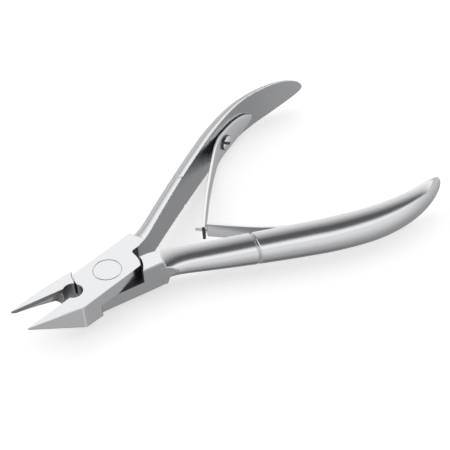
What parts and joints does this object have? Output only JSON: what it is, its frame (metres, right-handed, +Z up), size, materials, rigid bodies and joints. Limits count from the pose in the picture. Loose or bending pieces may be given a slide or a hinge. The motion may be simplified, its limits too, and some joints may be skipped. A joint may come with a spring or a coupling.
{
  "type": "cuticle nipper",
  "caption": "Lap-joint cuticle nipper in satin stainless steel, with tapering pointed jaws, curved handles and two interlocking leaf springs that hold it open.",
  "frame": {"origin": "on the pivot axis, at the flush underside of the joint", "axes": "+X runs between the handles, away from the jaws; +Y points to the upper half's handle; +Z is up along the pivot axis"},
  "size_m": [0.1186, 0.0694, 0.0116],
  "materials": {
    "forged_steel": "satin, finely ground",
    "rivet_steel": "satin, ground flush",
    "spring_steel": "satin, rolled",
    "screw_steel": "polished"
  },
  "bodies": {
    "lower_arm": {"lower_half": "forged_steel", "pivot_rivet": "rivet_steel", "lower_spring_foot": "spring_steel", "lower_spring_screw": "screw_steel"},
    "upper_arm": {"upper_half": "forged_steel", "upper_spring_foot": "spring_steel", "upper_spring_screw": "screw_steel"},
    "upper_leaf": {"upper_spring_leaf": "spring_steel"},
    "lower_leaf": {"lower_spring_leaf": "spring_steel"}
  },
  "joints": [
    {"name": "pivot", "type": "hinge", "parent": "lower_arm", "child": "upper_arm", "pos_m": [0, 0, 0.004], "axis": [0, 0, 1], "range_deg": [-16, 2], "stiffness_Nm_per_rad": 1.5},
    {"name": "upper_leaf_bend", "type": "hinge", "parent": "upper_arm", "child": "upper_leaf", "pos_m": [0.0547, 0.0239, 0.004], "axis": [0, 0, 1], "range_deg": [-9, 2]},
    {"name": "lower_leaf_bend", "type": "hinge", "parent": "lower_arm", "child": "lower_leaf", "pos_m": [0.0512, -0.0222, 0.004], "axis": [0, 0, 1], "range_deg": [-2, 12]}
  ],
  "couplings": [
    {"joint": "upper_leaf_bend", "follows": "pivot", "ratio": 0.515},
    {"joint": "lower_leaf_bend", "follows": "pivot", "ratio": -0.685}
  ]
}
